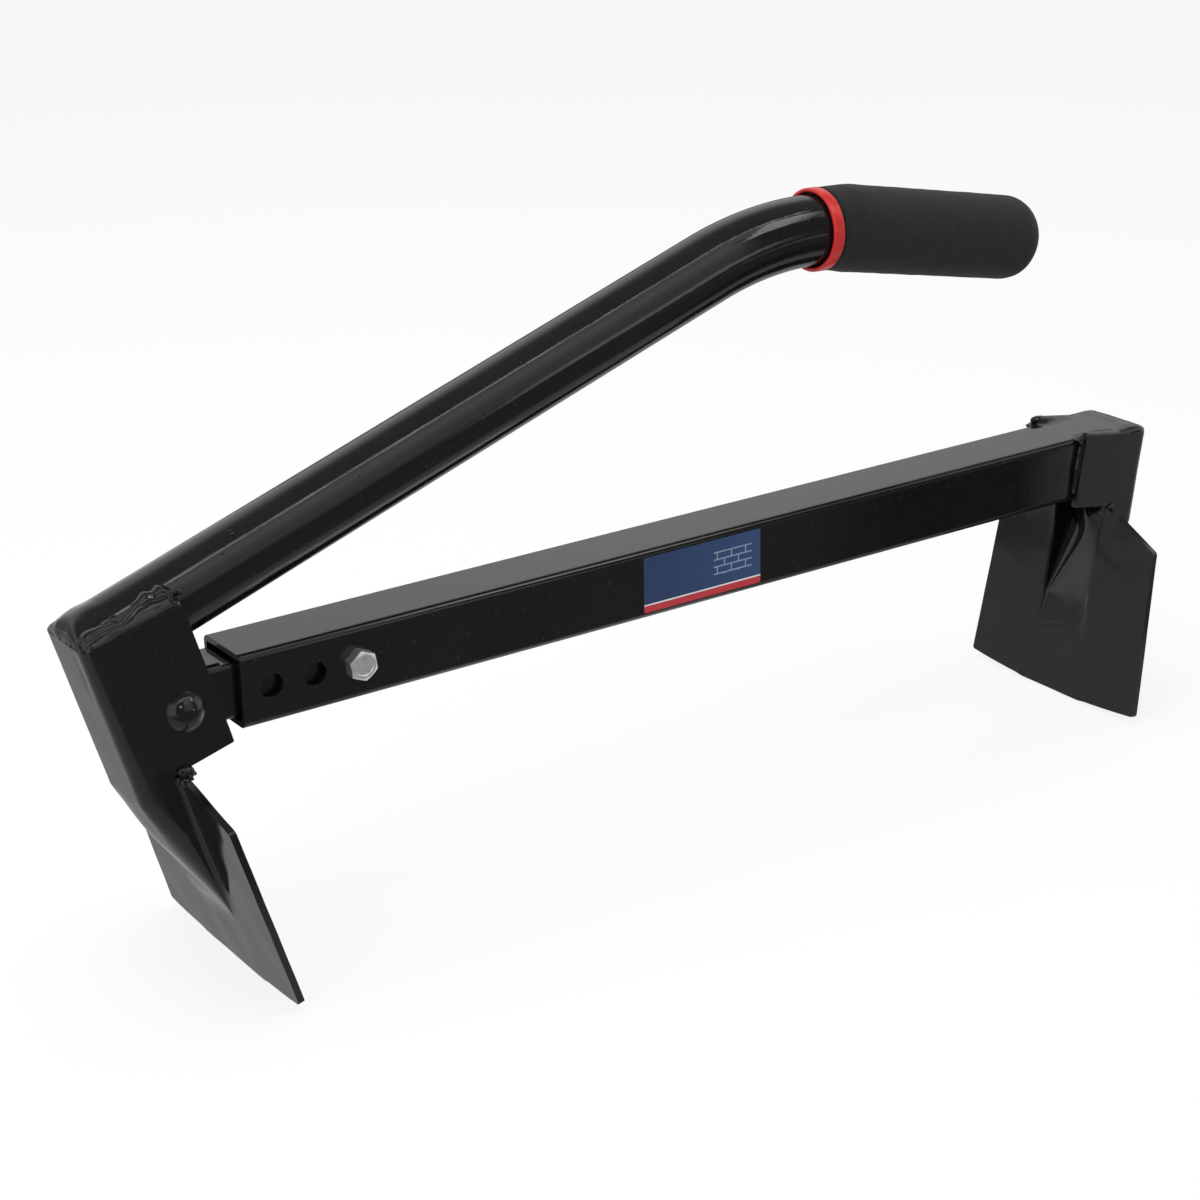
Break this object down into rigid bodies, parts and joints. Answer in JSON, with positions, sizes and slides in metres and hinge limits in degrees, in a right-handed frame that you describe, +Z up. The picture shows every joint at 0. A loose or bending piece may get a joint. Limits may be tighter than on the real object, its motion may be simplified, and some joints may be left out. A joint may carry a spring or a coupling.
{
  "type": "brick tongs",
  "caption": "Carrying tongs for a row of bricks: square telescopic bar, a fixed jaw plate, and a lever jaw with a bent tube handle whose lift closes the jaws.",
  "frame": {"origin": "on the floor, under the middle of the tongs' overall box, as they stand on both blades", "axes": "+X along the bar from the lever jaw to the fixed jaw, +Y across the bar towards its nut side, +Z up"},
  "size_m": [0.5729, 0.117, 0.2848],
  "materials": {
    "black_paint": "gloss black powder coat with a slight orange peel",
    "zinc_plate": "bright zinc plate",
    "red_collar": "gloss red",
    "grip_foam": "matte fine-pored foam",
    "label_film": "satin film"
  },
  "bodies": {
    "bar": {"outer_bar": "black_paint", "fixed_jaw": "black_paint", "fixed_weld_top": "black_paint", "fixed_weld_front": "black_paint", "fixed_weld_rear": "black_paint", "adjuster_bolt": "zinc_plate", "adjuster_washer": "zinc_plate", "adjuster_nut": "zinc_plate", "label_plate": "label_film"},
    "slider": {"inner_bar": "black_paint", "pivot_sleeve": "black_paint"},
    "lever": {"lever_jaw": "black_paint", "pivot_rivet": "black_paint", "handle_tube": "black_paint", "foam_grip": "grip_foam", "grip_collar": "red_collar", "handle_weld_front": "black_paint", "handle_weld_rear": "black_paint", "handle_weld_end": "black_paint", "notch_weld_front": "black_paint", "notch_weld_rear": "black_paint"}
  },
  "joints": [
    {"name": "length_adjust", "type": "slide", "parent": "bar", "child": "slider", "axis": [-1, 0, 0], "range_m": [0, 0.24]},
    {"name": "lever_pivot", "type": "hinge", "parent": "slider", "child": "lever", "pos_m": [-0.24724, 0, 0.12418], "axis": [0, -1, 0], "range_deg": [-10, 45]}
  ]
}
